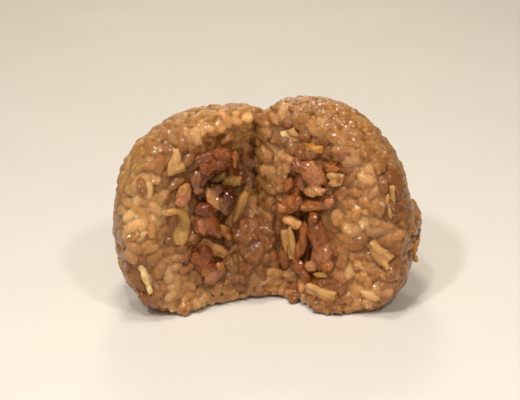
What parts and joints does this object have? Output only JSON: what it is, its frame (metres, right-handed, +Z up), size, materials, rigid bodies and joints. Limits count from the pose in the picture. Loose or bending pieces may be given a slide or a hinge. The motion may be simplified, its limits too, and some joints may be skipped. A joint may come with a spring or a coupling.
{
  "type": "onigiri",
  "caption": "Onigiri of sticky soy-seasoned rice, torn open like a book, with stewed pork, bamboo shoot and leek showing on both torn faces.",
  "frame": {"origin": "on the surface it stands on, under the middle of the whole object's box", "axes": "+X to the viewer's right along both halves, -Y towards the viewer, out of the opened side, +Z up"},
  "size_m": [0.1028, 0.055, 0.0681],
  "materials": {
    "rice": "moist, translucent cooked rice, stained by soy sauce",
    "pork": "stewed, wet with sauce and fat",
    "bamboo": "boiled, fibrous, moist",
    "leek": "stewed soft, translucent, moist"
  },
  "bodies": {
    "root": {"rice": "rice", "pork_top_left": "pork", "pork_pale_left": "pork", "pork_knob_left": "pork", "pork_middle_left": "pork", "pork_heart_left": "pork", "pork_dark_left": "pork", "pork_finger_left": "pork", "pork_top_right": "pork", "pork_speck_right": "pork", "pork_red_right": "pork", "pork_amber_right": "pork", "pork_fat_right": "pork", "pork_long_right": "pork", "pork_thin_right": "pork", "pork_foot_right": "pork", "bamboo_wedge": "bamboo", "bamboo_long_left": "bamboo", "bamboo_cube_left": "bamboo", "bamboo_low_left": "bamboo", "bamboo_rim_left": "bamboo", "bamboo_high_right": "bamboo", "bamboo_cube_right": "bamboo", "bamboo_long_right": "bamboo", "bamboo_foot_right": "bamboo", "bamboo_side_right": "bamboo", "bamboo_hook_right": "bamboo", "leek_stub": "leek", "leek_arch": "leek", "leek_skin_left": "leek", "leek_skin_right": "leek", "leek_nub_right": "leek", "leek_flake_right": "leek"}
  },
  "joints": []
}
